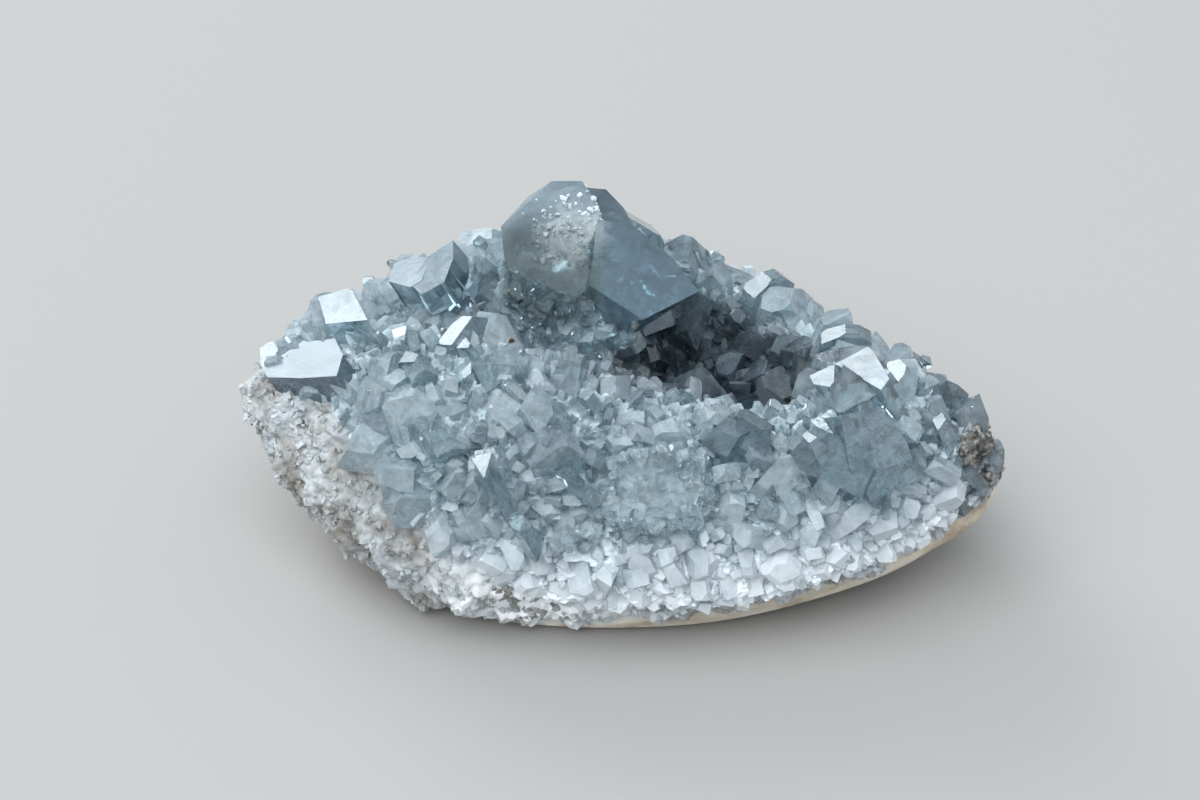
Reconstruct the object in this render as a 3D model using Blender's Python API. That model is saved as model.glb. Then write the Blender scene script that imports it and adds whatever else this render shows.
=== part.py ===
"""A palm-sized celestite cluster: a broken bowl of pale matrix rock, ground smooth underneath,
lined with one crust of pale blue crystals that have grown together round a hollow."""

import math
import random

import bmesh
import bpy
import numpy as np
from mathutils import Matrix, Vector, noise

MM = 0.001
SEED = 23

# Rings of the bowl, in mm: twelve points each, clockwise from the right end as seen from above
SKIN_EDGE = (
    (66, -7, 20), (57, -14, 12.5), (42, -19, 6), (18, -24, 1.8), (-10, -24, 1.2), (-30, -18, 2.4),
    (-44, -8, 8), (-55, 5, 15), (-45, 29, 16), (-14, 49, 18), (24, 51, 16), (51, 25, 13),
)
BULGE = (
    (64, -6, 24), (54, -17, 18), (38, -25, 16), (16, -29, 14), (-9, -29, 14), (-30, -25, 15),
    (-50, -8, 18), (-59, 6, 27), (-47, 29, 23), (-14, 48, 26), (22, 49, 22), (49, 24, 18),
)
SLOPE = (
    (56, -3, 28), (46, -15, 31), (32, -18, 31), (10, -21, 29), (-11, -22, 29), (-28, -18, 32),
    (-44, -4, 31), (-53, 7, 31), (-40, 25, 30), (-11, 43, 32), (19, 45, 25), (46, 22, 22),
)
CREST = (
    (50, 0, 31), (42, -6, 34), (27, -6, 31), (8, -8, 35), (-9, -6, 40), (-21, -3, 41),
    (-35, 8, 38), (-43, 13, 35), (-27, 23, 33), (-7, 37, 35), (18, 41, 25), (42, 20, 24),
)
HOLLOW_WALL = (
    (42, 7, 21), (38, 2, 22), (27, 2, 17), (13, 3, 19), (2, 8, 22), (-5, 12, 25),
    (-10, 17, 26), (-11, 21, 25), (-6, 27, 24), (2, 33, 22), (20, 36, 16), (37, 19, 16),
)
HOLLOW_FLOOR = (
    (31, 15, 9), (29, 12, 9), (24, 10, 8), (17, 10, 8), (11, 13, 9), (8, 16, 10),
    (6, 19, 10), (6, 22, 10), (8, 25, 10), (13, 27, 9), (21, 27, 8), (29, 20, 8),
)
RINGS = np.array([SKIN_EDGE, BULGE, SLOPE, CREST, HOLLOW_WALL, HOLLOW_FLOOR], float)
STATIONS = 12

# The flat spot that it stands on, ground on the smooth skin: an ellipse round the origin
REST_LONG = 25
REST_SHORT = 17

# Columns round the lofted surfaces and their levels, closer together where the rock is bare
ROCK_COLUMNS = 54
ROCK_LEVELS = (0, 0.33, 0.67, 1, 1.33, 1.67, 2, 2.5, 3, 3.5, 4.2, 5)
CRUST_COLUMNS = 36
CRUST_LEVELS = (0, 0.5, 1, 1.5, 2, 2.5, 3, 3.5, 4, 4.5, 5)
SKIN_STEPS = 4

# Level, counted in rings from the skin's edge, where the crystals begin at each station
CRUST_FROM = (0.5, 0.4, 0.35, 0.35, 0.6, 1.35, 1.8, 1.7, 1.7, 1.2, 0.9, 0.7)
CRUST_THICK = 3.6
CRUST_SUNK = 2.6
CRUST_RISE = 0.3
GAP = 0.3
FLAT_ANGLE = math.radians(0.5)

# Lumps of the bare rock, of the crust's bed and of the host-rock knobs: height, size and seed
ROCK_LUMP = 1.5
ROCK_LUMP_SIZE = 6.5
ROCK_SEED = 1
CRUST_LUMP = 1.1
CRUST_LUMP_SIZE = 5.0
CRUST_SEED = 2
KNOB_LUMP = 0.22
KNOB_LUMP_SIZE = 0.7
KNOB_SEED = 5

# One crystal: turn and reach of its long faces, slopes of its roof in degrees, its ridge's place
LONG_FACE_TURN = math.radians(38)
LONG_FACE_REACH = 0.55
ROOF_SLOPE = (34, 50)
END_SLOPE = (42, 62)
RIDGE_SHIFT = 0.15
RIDGE_LENGTH = (0.15, 0.5)

# Small crystals strewn over the bed
CRYSTAL_TRIES = 5000
CRYSTAL_LOWEST = 0.4
CRYSTAL_SPACING = 8.15
CRYSTAL_WIDTH = (6.5, 11.0)
CRYSTAL_THICKNESS = (0.7, 1.0)
CRYSTAL_STANDS = (1.5, 4.5)
CRYSTAL_EDGE_RISE = 0.9
CRYSTAL_NEEDS = 0.95
HOLLOW_LEVEL = 3.6
HOLLOW_SHARE = 0.5
CRYSTAL_ROOT = 7.0
CRYSTAL_TILT = 0.42

# Named large crystals, in mm: tip, axis that it grew along, width, thickness, length, spin in degrees
LARGE_CRYSTALS = {
    "left_wedge": ((-32, 13, 50), (-0.25, -0.25, 1.0), 9, 8, 14, 20),
    "right_wedge": ((-24, 15, 52), (0.05, -0.30, 1.0), 10, 7, 16, 75),
    "left_corner": ((-51, 7, 36), (-0.55, -0.05, 0.9), 13, 9, 13, 0),
    "left_block": ((-43, 12, 43), (-0.40, -0.10, 0.9), 9, 8, 13, 30),
    "right_peak": ((44, 0, 41), (0.15, -0.10, 1.0), 13, 10, 15, 10),
    "right_peak_front": ((40, -7, 42), (-0.05, -0.45, 0.9), 10, 9, 15, 50),
    "right_peak_side": ((51, -4, 38), (0.50, -0.20, 0.8), 9, 8, 13, 80),
    "blue_prism": ((36, -22, 40), (-0.10, -0.75, 0.65), 13, 9, 16, 70),
    "blue_prism_low": ((45, -24, 36), (0.25, -0.80, 0.55), 14, 10, 15, 20),
    "pale_block": ((7, -29, 37), (0.05, -0.75, 0.65), 15, 12, 16, 35),
    "striated": ((-8, -25, 39), (-0.10, -0.60, 0.8), 9, 7, 14, 5),
    "dark_pair_left": ((20, -20, 38), (-0.20, -0.45, 0.9), 7, 6, 12, 40),
    "dark_pair_right": ((25, -19, 38), (0.30, -0.45, 0.9), 7, 6, 12, 85),
    "front_left_prism": ((-19, -27, 34), (-0.35, -0.80, 0.5), 10, 7, 14, 60),
    "front_step": ((-25, -22, 41), (-0.30, -0.55, 0.8), 9, 7, 13, 15),
    "plateau_left": ((-16, -11, 47), (-0.10, -0.40, 0.9), 9, 8, 12, 30),
    "plateau_right": ((-4, -10, 45), (0.10, -0.45, 0.9), 8, 7, 12, 70),
    "back_high": ((4, 38, 45), (0.05, 0.30, 1.0), 13, 11, 17, 25),
    "back_pale": ((16, 46, 34), (0.15, 0.35, 0.9), 12, 10, 16, 60),
    "back_middle": ((30, 39, 31), (0.10, 0.10, 1.0), 10, 9, 15, 40),
    "back_right": ((43, 20, 32), (0.15, 0.00, 1.0), 9, 8, 14, 10),
    "back_left": ((-22, 28, 38), (-0.20, 0.25, 1.0), 11, 9, 15, 50),
    "right_end": ((59, -7, 31), (0.60, -0.45, 0.7), 9, 7, 13, 35),
}

# Corners of the crown, in mm: two great blocks that lean together over the hollow, one behind
CROWN_LEFT = (
    (-17, 13, 54), (-12, 18, 58), (-8, 19, 61), (-3, 19, 61), (-1, 15, 60), (0, 11, 59),
    (-2, 1, 51), (-4, -1, 49), (-9, 1, 51), (-15, 5, 51), (-16, 9, 51),
    (-15, 8, 40), (-7, 1, 38), (4, 3, 38), (5, 15, 40), (-8, 21, 42),
)
CROWN_RIGHT = (
    (-1, 11, 59), (5, 14, 56), (12, 6, 53), (16, 2, 50), (7, -5, 48), (3, -3, 49), (-3, 1, 50),
    (14, 9, 48), (8, 16, 50), (-2, 18, 44), (-6, 6, 40), (5, 4, 40), (2, 14, 40),
)
CROWN_BEHIND = (
    (-3, 22, 58), (1, 23, 57), (4, 22, 54), (6, 18, 52), (-4, 15, 56), (-6, 22, 46), (5, 24, 44),
    (6, 14, 42), (-5, 14, 42),
)

# Knobs of darker host rock at the right end, in mm: centre and radius
HOST_KNOBS = (
    ((60, -4, 25), 5.0),
    ((60, 2, 24), 5.0),
    ((56, 9, 22), 5.5),
    ((63, -8, 20), 3.5),
)


def clear_scene():
    for old in list(bpy.data.objects):
        bpy.data.objects.remove(old, do_unlink=True)


def material(name, colour, roughness, transmission=0.0, ior=1.5):
    made = bpy.data.materials.new(name)
    made.use_nodes = True
    shader = made.node_tree.nodes["Principled BSDF"]
    shader.inputs["Base Color"].default_value = (*colour, 1.0)
    shader.inputs["Roughness"].default_value = roughness
    shader.inputs["Metallic"].default_value = 0.0
    shader.inputs["Transmission Weight"].default_value = transmission
    shader.inputs["IOR"].default_value = ior
    made.diffuse_color = (*colour, 1.0)
    return made


def spline_weights(at, count, closed):
    """Catmull-Rom weights of `count` evenly numbered points for each parameter in `at`."""
    at = np.asarray(at, float)
    whole = np.floor(at).astype(int)
    if not closed:
        whole = np.clip(whole, 0, count - 2)
    t = at - whole
    cubic = (
        0.5 * (-t + 2 * t**2 - t**3),
        0.5 * (2 - 5 * t**2 + 3 * t**3),
        0.5 * (t + 4 * t**2 - 3 * t**3),
        0.5 * (-(t**2) + t**3),
    )
    weights = np.zeros((len(at), count))
    for shift, weight in enumerate(cubic):
        index = whole + shift - 1
        index = index % count if closed else np.clip(index, 0, count - 1)
        np.add.at(weights, (np.arange(len(at)), index), weight)
    return weights


def bed_point(station, level):
    """Points of the bowl's upper surface, in mm: a spline round each ring and across the rings."""
    around = spline_weights(station, STATIONS, True)
    across = spline_weights(level, len(RINGS), False)
    return np.einsum("nr,nk,rkc->nc", across, around, RINGS)


def bed_normal(station, level):
    """Outward unit normals of the upper surface, from its two tangents."""
    step = 0.02
    lower = np.maximum(level - step, 0)
    upper = np.minimum(level + step, len(RINGS) - 1)
    along = bed_point(station + step, level) - bed_point(station - step, level)
    up = bed_point(station, upper) - bed_point(station, lower)
    normal = np.cross(up, along)
    return normal / np.linalg.norm(normal, axis=1, keepdims=True)


def crust_cover(station, level, width=CRUST_RISE):
    """0 where the rock is bare, rising smoothly to 1 within `width` levels of the crystals' edge."""
    edge = spline_weights(station, STATIONS, True) @ np.array(CRUST_FROM)
    rise = np.clip((level - edge) / width, 0, 1)
    return rise * rise * (3 - 2 * rise)


def rough(points, size, seed):
    """A smooth seeded noise from -1 to 1 at each point, with lumps of about `size` mm."""
    offset = Vector((seed * 7.3, seed * 3.1, seed * 5.7))
    return np.array([noise.fractal(Vector(p) / size + offset, 0.8, 2.1, 3) for p in points])


def loft(rings):
    """A closed mesh over rings of equal length from the bottom up, with a fan at each end."""
    count, columns = rings.shape[:2]
    points = rings.reshape(-1, 3)
    first = np.arange(columns)
    after = (first + 1) % columns
    starts = np.arange(count - 1)[:, None] * columns
    lower = (starts + after, starts + first, starts + columns + first)
    upper = (starts + after, starts + columns + first, starts + columns + after)
    faces = np.concatenate([np.stack(half, axis=-1).reshape(-1, 3) for half in (lower, upper)])
    bottom, top = len(points), len(points) + 1
    points = np.vstack([points, rings[0].mean(axis=0), rings[-1].mean(axis=0)])
    last = (count - 1) * columns
    fans = [(bottom, int(a), int(b)) for a, b in zip(first, after)]
    fans += [(top, int(last + b), int(last + a)) for a, b in zip(first, after)]
    mesh = bpy.data.meshes.new("loft")
    mesh.from_pydata((points * MM).tolist(), [], faces.tolist() + fans)
    mesh.update()
    return mesh


def skin_rings(edge):
    """The smooth underside: quarter-ellipse curves from the flat rest spot out to the skin's edge."""
    angle = np.arctan2(edge[:, 1] / REST_SHORT, edge[:, 0] / REST_LONG)
    rest = np.stack([REST_LONG * np.cos(angle), REST_SHORT * np.sin(angle), 0 * angle], axis=1)
    rings = [rest]
    for step in range(1, SKIN_STEPS):
        turn = step / SKIN_STEPS * math.pi / 2
        outward = math.sin(turn)
        raised = 1 - math.cos(turn)
        rings.append(rest + (edge - rest) * np.array([outward, outward, raised]))
    return np.array(rings)


def bowl(columns, levels, inner_offset, outer_offset, lumps):
    """The whole bowl as a loft. Offsets in mm push the bare part and the crusted part along the normals."""
    station = np.arange(columns) * STATIONS / columns
    rings = []
    for level in levels:
        at = np.full(columns, level)
        points = bed_point(station, at)
        cover = crust_cover(station, at)
        push = inner_offset + (outer_offset - inner_offset) * cover
        if level > 0:
            push = push + lumps(points, cover)
        rings.append(points + bed_normal(station, at) * push[:, None])
    skin = skin_rings(rings[0])
    if inner_offset < 0:
        skin[:, :, 2] -= inner_offset
    return loft(np.concatenate([skin, rings]))


def rock_lumps(points, cover):
    """Lumps and pits where the rock is broken and bare."""
    return ROCK_LUMP * (1 - cover) * rough(points, ROCK_LUMP_SIZE, ROCK_SEED)


def crust_lumps(points, cover):
    """Swells of the bed that the crystals stand on."""
    return CRUST_LUMP * cover * rough(points, CRUST_LUMP_SIZE, CRUST_SEED)


def new_object(name, mesh, collection, finish=None):
    made = bpy.data.objects.new(name, mesh)
    collection.objects.link(made)
    if finish:
        mesh.materials.clear()
        mesh.materials.append(finish)
    return made


def hull(corners):
    """The convex solid of some corners, in mm."""
    shape = bmesh.new()
    for corner in corners:
        shape.verts.new(Vector(corner) * MM)
    made = bmesh.ops.convex_hull(shape, input=shape.verts)
    inside = {item for item in made["geom_interior"] if isinstance(item, bmesh.types.BMVert)}
    bmesh.ops.delete(shape, geom=list(inside), context="VERTS")
    bmesh.ops.dissolve_limit(
        shape, angle_limit=FLAT_ANGLE, verts=shape.verts, edges=shape.edges
    )
    mesh = bpy.data.meshes.new("hull")
    shape.to_mesh(mesh)
    shape.free()
    return mesh


def corners_of(planes):
    """Every corner of the convex body inside planes given as rows of normal and distance."""
    planes = np.asarray(planes, float)
    count = len(planes)
    triples = np.array(
        [(a, b, c) for a in range(count) for b in range(a + 1, count) for c in range(b + 1, count)]
    )
    normals = planes[triples, :3]
    solvable = np.abs(np.linalg.det(normals)) > 1e-4
    found = np.linalg.solve(normals[solvable], planes[triples[solvable], 3][..., None])[..., 0]
    inside = (found @ planes[:, :3].T <= planes[:, 3] + 1e-6).all(axis=1)
    return np.unique(found[inside].round(5), axis=0)


def celestite(width, thickness, length, chance):
    """Corners of one crystal with its tip at the origin and its root down -Z: four long faces that
    cut off its corners, two flat sides, and a roof of two wide and two narrow faces."""
    half_width, half_thick = width / 2, thickness / 2
    across, outward = math.sin(LONG_FACE_TURN), math.cos(LONG_FACE_TURN)
    reach = half_width * LONG_FACE_REACH * across + half_thick * outward
    shift = chance.uniform(-RIDGE_SHIFT, RIDGE_SHIFT) * width
    roof = [math.radians(chance.uniform(*ROOF_SLOPE)) for _ in range(2)]
    ends = [math.radians(chance.uniform(*END_SLOPE)) for _ in range(2)]
    ridge = chance.uniform(*RIDGE_LENGTH) * half_thick
    planes = [(0, 0, -1, length)]
    for side in (1, -1):
        planes.append((side, 0, 0, half_width))
        for turn in (1, -1):
            planes.append((side * across, turn * outward, 0, reach))
    for side, tilt in zip((1, -1), roof):
        planes.append((side * math.sin(tilt), 0, math.cos(tilt), side * shift * math.sin(tilt)))
    for side, tilt in zip((1, -1), ends):
        planes.append((0, side * math.sin(tilt), math.cos(tilt), ridge * math.sin(tilt)))
    return corners_of(planes)


def placed(corners, tip, axis, spin):
    """The corners turned so that +Z runs along the axis and moved to the tip."""
    turn = Vector(axis).to_track_quat("Z", "Y").to_matrix()
    turn = np.array(turn @ Matrix.Rotation(spin, 3, "Z"))
    return corners @ turn.T + np.array(tip)


def strewn_crystals(chance):
    """Corners of the small crystals: seeded places no nearer than the spacing, tips off the crust."""
    places = []
    crystals = []
    for _ in range(CRYSTAL_TRIES):
        station = np.array([chance.uniform(0, STATIONS)])
        level = np.array([chance.uniform(CRYSTAL_LOWEST, len(RINGS) - 1)])
        if crust_cover(station, level)[0] < CRYSTAL_NEEDS:
            continue
        place = bed_point(station, level)[0]
        if places and np.linalg.norm(np.array(places) - place, axis=1).min() < CRYSTAL_SPACING:
            continue
        places.append(place)
        normal = bed_normal(station, level)[0]
        lean = np.array([chance.gauss(0, CRYSTAL_TILT) for _ in range(3)])
        axis = normal + lean - normal * (lean @ normal)
        axis = axis / np.linalg.norm(axis)
        width = chance.uniform(*CRYSTAL_WIDTH)
        thickness = width * chance.uniform(*CRYSTAL_THICKNESS)
        share = crust_cover(station, level, CRYSTAL_EDGE_RISE)[0]
        if level[0] > HOLLOW_LEVEL:
            share = HOLLOW_SHARE
        stands = CRUST_THICK + share * chance.uniform(*CRYSTAL_STANDS)
        shape = celestite(width, thickness, stands + CRYSTAL_ROOT, chance)
        crystals.append(placed(shape, place + axis * stands, axis, chance.uniform(0, math.pi)))
    return crystals


def crystal_corners():
    """Corners of every crystal of the crust, the crown and the large ones first."""
    chance = random.Random(SEED)
    crystals = [CROWN_LEFT, CROWN_RIGHT, CROWN_BEHIND]
    for tip, axis, width, thickness, length, spin in LARGE_CRYSTALS.values():
        shape = celestite(width, thickness, length, chance)
        crystals.append(placed(shape, tip, axis, math.radians(spin)))
    return crystals + strewn_crystals(chance)


def boolean(target, operation, tools):
    """Joins or cuts the target with a whole collection. All shapes are closed, as this solver needs."""
    made = target.modifiers.new(operation.lower(), "BOOLEAN")
    made.operation = operation
    made.solver = "MANIFOLD"
    made.operand_type = "COLLECTION"
    made.collection = tools


def replace_mesh(target, finish):
    """Applies the modifiers and keeps only the largest body, so that no chip hangs loose."""
    graph = bpy.context.evaluated_depsgraph_get()
    shape = bmesh.new()
    shape.from_mesh(bpy.data.meshes.new_from_object(target.evaluated_get(graph)).copy())
    waiting = set(shape.faces)
    bodies = []
    while waiting:
        body = {waiting.pop()}
        border = list(body)
        while border:
            edges = {edge for face in border for edge in face.edges}
            near = {face for edge in edges for face in edge.link_faces} - body
            body |= near
            border = list(near)
        waiting -= body
        bodies.append(body)
    largest = max(bodies, key=len)
    chips = [face for face in shape.faces if face not in largest]
    bmesh.ops.delete(shape, geom=chips, context="FACES")
    mesh = bpy.data.meshes.new(target.name)
    shape.to_mesh(mesh)
    shape.free()
    mesh.materials.append(finish)
    target.modifiers.clear()
    target.data = mesh


def host_knob(centre, radius, seed, grown=0.0):
    """A rough lump of host rock, in mm: an icosphere pushed in and out by noise."""
    shape = bmesh.new()
    bmesh.ops.create_icosphere(shape, subdivisions=2, radius=radius)
    points = np.array([vert.co for vert in shape.verts])
    push = 1 + KNOB_LUMP * rough(points, radius * KNOB_LUMP_SIZE, seed) + grown / radius
    for vert, at in zip(shape.verts, points * push[:, None] + np.array(centre)):
        vert.co = Vector(at) * MM
    mesh = bpy.data.meshes.new("host_knob")
    shape.to_mesh(mesh)
    shape.free()
    return mesh


def guides(collection):
    """Cutters and shapes that are joined into the parts stay out of the render."""
    for guide in collection.objects:
        guide.hide_render = True
        guide.display_type = "WIRE"


def rock_shapes(name, collection, grown):
    """The bowl and its host-rock knobs, each grown by some mm. The bowl is returned."""
    rock = bowl(ROCK_COLUMNS, ROCK_LEVELS, grown, grown, rock_lumps)
    for index, (centre, radius) in enumerate(HOST_KNOBS):
        knob = host_knob(centre, radius, KNOB_SEED + index, grown)
        new_object(f"{name}_knob_{index}", knob, collection)
    return rock


def build_matrix(parts, knobs):
    """The rock bowl with its knobs of host rock joined on."""
    finish = material("pale matrix rock", (0.62, 0.62, 0.60), 0.85)
    matrix = new_object("matrix", rock_shapes("host", knobs, 0), parts, finish)
    boolean(matrix, "UNION", knobs)
    replace_mesh(matrix, finish)


def build_crust(parts, crystals, cutters):
    """A layer over the bed joined with every crystal, then cut clear of the rock by the gap."""
    finish = material("pale blue celestite", (0.42, 0.52, 0.58), 0.12, transmission=0.7, ior=1.62)
    slab = bowl(CRUST_COLUMNS, CRUST_LEVELS, -CRUST_SUNK, CRUST_THICK, crust_lumps)
    crust = new_object("crystal_crust", slab, parts, finish)
    for index, corners in enumerate(crystal_corners()):
        new_object(f"crystal_{index:03}", hull(corners), crystals)
    new_object("bed_cutter", rock_shapes("cutter", cutters, GAP), cutters)
    boolean(crust, "UNION", crystals)
    boolean(crust, "DIFFERENCE", cutters)
    replace_mesh(crust, finish)


def main():
    clear_scene()
    collections = {}
    for name in ("celestite_cluster", "host_knobs", "crystals", "cutters"):
        collections[name] = bpy.data.collections.new(name)
        bpy.context.scene.collection.children.link(collections[name])
    parts = collections["celestite_cluster"]
    build_matrix(parts, collections["host_knobs"])
    build_crust(parts, collections["crystals"], collections["cutters"])
    for name in ("host_knobs", "crystals", "cutters"):
        guides(collections[name])


main()
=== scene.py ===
"""The looks of a palm-sized celestite cluster: a broken bowl of pale rock with a smooth ground rind
underneath, lined with glassy pale blue crystals that have grown together round a hollow."""

import itertools
import math

import bmesh
import bpy
import numpy as np
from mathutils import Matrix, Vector


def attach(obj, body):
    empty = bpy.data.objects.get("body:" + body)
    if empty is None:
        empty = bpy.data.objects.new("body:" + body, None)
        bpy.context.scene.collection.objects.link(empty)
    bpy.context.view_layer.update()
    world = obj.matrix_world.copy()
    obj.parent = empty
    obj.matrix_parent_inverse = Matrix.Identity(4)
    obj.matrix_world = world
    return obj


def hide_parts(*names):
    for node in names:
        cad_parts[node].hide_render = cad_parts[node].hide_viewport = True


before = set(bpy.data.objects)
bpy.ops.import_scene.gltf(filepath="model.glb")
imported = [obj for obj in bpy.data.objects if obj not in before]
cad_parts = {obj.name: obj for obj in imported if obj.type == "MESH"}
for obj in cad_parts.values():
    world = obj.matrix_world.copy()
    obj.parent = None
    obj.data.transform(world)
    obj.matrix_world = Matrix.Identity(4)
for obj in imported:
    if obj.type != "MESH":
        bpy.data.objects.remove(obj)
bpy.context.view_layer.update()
MM = 0.001


# The matrix is one broken, bowl-like piece of pale rock. Its underside is ground smooth, its broken
# sides are granular, and its upper face is the bed that the crystals have grown on.

# Rings of the bowl, in mm: twelve points each, clockwise from the right end as seen from above
SKIN_EDGE = (
    (66, -7, 20), (57, -14, 12.5), (42, -19, 6), (18, -24, 1.8), (-10, -24, 1.2), (-30, -18, 2.4),
    (-44, -8, 8), (-55, 5, 15), (-45, 29, 16), (-14, 49, 18), (24, 51, 16), (51, 25, 13),
)
BULGE = (
    (64, -6, 24), (54, -17, 18), (38, -25, 16), (16, -29, 14), (-9, -29, 14), (-30, -25, 15),
    (-50, -8, 18), (-59, 6, 27), (-47, 29, 23), (-14, 48, 26), (22, 49, 22), (49, 24, 18),
)
SLOPE = (
    (56, -3, 28), (46, -15, 31), (32, -18, 31), (10, -21, 29), (-11, -22, 29), (-28, -18, 32),
    (-44, -4, 31), (-53, 7, 31), (-40, 25, 30), (-11, 43, 32), (19, 45, 25), (46, 22, 22),
)
CREST = (
    (50, 0, 31), (42, -6, 34), (27, -6, 31), (8, -8, 35), (-9, -6, 40), (-21, -3, 41),
    (-35, 8, 38), (-43, 13, 35), (-27, 23, 33), (-7, 37, 35), (18, 41, 25), (42, 20, 24),
)
HOLLOW_WALL = (
    (42, 7, 21), (38, 2, 22), (27, 2, 17), (13, 3, 19), (2, 8, 22), (-5, 12, 25),
    (-10, 17, 26), (-11, 21, 25), (-6, 27, 24), (2, 33, 22), (20, 36, 16), (37, 19, 16),
)
HOLLOW_FLOOR = (
    (31, 15, 9), (29, 12, 9), (24, 10, 8), (17, 10, 8), (11, 13, 9), (8, 16, 10),
    (6, 19, 10), (6, 22, 10), (8, 25, 10), (13, 27, 9), (21, 27, 8), (29, 20, 8),
)
RINGS = np.array([SKIN_EDGE, BULGE, SLOPE, CREST, HOLLOW_WALL, HOLLOW_FLOOR], float)
STATIONS = 12
REST_LONG = 25
REST_SHORT = 17

# Level, counted in rings from the rind's edge, where the crystals begin at each station
CRUST_FROM = (0.55, 0.55, 0.55, 0.45, 0.65, 1.35, 1.8, 1.7, 1.7, 1.2, 0.9, 0.7)
CRUST_RISE = 0.3

ROCK_COLUMNS = 600
RIND_ROWS = 16
BROKEN_ROWS = 84
BED_ROWS = 40
BROKEN_TO = 2.0

ROCK_LUMP = 1.8
ROCK_LUMP_SIZE = 6.5
COBBLE = 0.9
COBBLE_SIZE = 2.1
COBBLE_FACET = 0.5
GRAIN = 0.4
GRAIN_SIZE = 0.9
GRAIN_FACET = 0.35

# Level up to which the rock is ground smooth at each station, and how it breaks off there
RIND_TO = (0.20, 0.40, 0.44, 0.34, 0.03, 0, 0, 0, 0.1, 0.2, 0.2, 0.15)
RIND_WANDER = 0.05
RIND_BREAK = 0.06

# Middle of the milky patch at the front of the underside, and its reach each way. The patch is
# whiter stone, whitened further as painted light where the front faces down into shade
MILKY_AND_LIT_AT = (-9, -30, 10)
MILKY_AND_LIT_REACH = (23, 15, 13)
ROCK_DULLNESS = 0.75


def spline_weights(at, count, closed):
    """Catmull-Rom weights of `count` evenly numbered points for each parameter in `at`."""
    at = np.asarray(at, float)
    whole = np.floor(at).astype(int)
    if not closed:
        whole = np.clip(whole, 0, count - 2)
    t = at - whole
    cubic = (
        0.5 * (-t + 2 * t**2 - t**3),
        0.5 * (2 - 5 * t**2 + 3 * t**3),
        0.5 * (t + 4 * t**2 - 3 * t**3),
        0.5 * (-(t**2) + t**3),
    )
    weights = np.zeros((len(at), count))
    for shift, weight in enumerate(cubic):
        index = whole + shift - 1
        index = index % count if closed else np.clip(index, 0, count - 1)
        np.add.at(weights, (np.arange(len(at)), index), weight)
    return weights


def bed_point(station, level):
    """Points of the bowl's outside and bed, in mm: a spline round each ring and across the rings."""
    around = spline_weights(station, STATIONS, True)
    across = spline_weights(level, len(RINGS), False)
    return np.einsum("nr,nk,rkc->nc", across, around, RINGS, optimize=True)


def bed_normal(station, level):
    """Outward unit normals of that surface: the cross product of its two tangents."""
    step = 0.02
    lower = np.maximum(level - step, 0)
    upper = np.minimum(level + step, len(RINGS) - 1)
    along = bed_point(station + step, level) - bed_point(station - step, level)
    up = bed_point(station, upper) - bed_point(station, lower)
    normal = np.cross(up, along)
    return normal / np.linalg.norm(normal, axis=1, keepdims=True)


def crust_cover(station, level, width=CRUST_RISE):
    """0 where the rock is bare, rising smoothly to 1 within `width` levels of the crystals' edge."""
    edge = spline_weights(station, STATIONS, True) @ np.array(CRUST_FROM)
    rise = np.clip((level - edge) / width, 0, 1)
    return rise * rise * (3 - 2 * rise)


def smooth_noise(points, size, seed):
    """Gradient noise, about -1 to 1: seeded slopes at the corners of cubes of `size` mm, each times
    the way to the point, blended over the cube by 6t^5 - 15t^4 + 10t^3."""
    chance = np.random.default_rng(seed)
    slopes = chance.normal(size=(256, 3))
    slopes /= np.linalg.norm(slopes, axis=1, keepdims=True)
    order = chance.permutation(256)
    at = np.asarray(points) / size
    low = np.floor(at).astype(int)
    part = at - low
    fade = part**3 * (part * (part * 6 - 15) + 10)
    total = np.zeros(len(at))
    for corner in itertools.product((0, 1), repeat=3):
        node = low + corner
        index = order[(node[:, 0]) & 255]
        index = order[(index + node[:, 1]) & 255]
        index = order[(index + node[:, 2]) & 255]
        dot = ((part - corner) * slopes[index]).sum(axis=1)
        total += np.where(corner, fade, 1 - fade).prod(axis=1) * dot
    return total * 1.5


def rough(points, size, seed, octaves=3):
    """Fractal noise: each octave has half the size and 0.55 of the height of the one before."""
    return sum(
        0.55**step * smooth_noise(points, size / 2**step, seed + step) for step in range(octaves)
    )


def cobbles(points, size, seed):
    """The cells round seeded points, one in each cube of `size` mm: distances to the nearest and the
    second nearest, which are equal in the cracks, and the height of a flat facet that tilts its own
    way through each cell. All are in cube sides."""
    chance = np.random.default_rng(seed)
    jitter = chance.random((4096, 3))
    tilts = chance.normal(0, 0.7, (4096, 3))
    at = np.asarray(points) / size
    low = np.floor(at).astype(int)
    nearest = np.full(len(at), 9.0)
    second = np.full(len(at), 9.0)
    facet = np.zeros(len(at))
    for shift in itertools.product((-1, 0, 1), repeat=3):
        node = low + shift
        index = (node[:, 0] * 73 ^ node[:, 1] * 179 ^ node[:, 2] * 283) & 4095
        way = at - node - jitter[index]
        away = np.linalg.norm(way, axis=1)
        facet = np.where(away < nearest, (way * tilts[index]).sum(axis=1), facet)
        second = np.minimum(second, np.maximum(nearest, away))
        nearest = np.minimum(nearest, away)
    return nearest, second, facet


def grid_faces(rows, columns):
    """Quads over a grid that is closed round its columns, facing out when rows run upwards."""
    first = np.arange(columns)
    after = (first + 1) % columns
    starts = np.arange(rows - 1)[:, None] * columns
    quads = (starts + after, starts + first, starts + columns + first, starts + columns + after)
    return np.stack(quads, axis=-1).reshape(-1, 4)


def mesh_of(name, points, faces):
    """A mesh from points in mm and rows of face corners."""
    mesh = bpy.data.meshes.new(name)
    mesh.from_pydata((points * MM).tolist(), [], faces if isinstance(faces, list) else faces.tolist())
    mesh.update()
    return mesh


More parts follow.
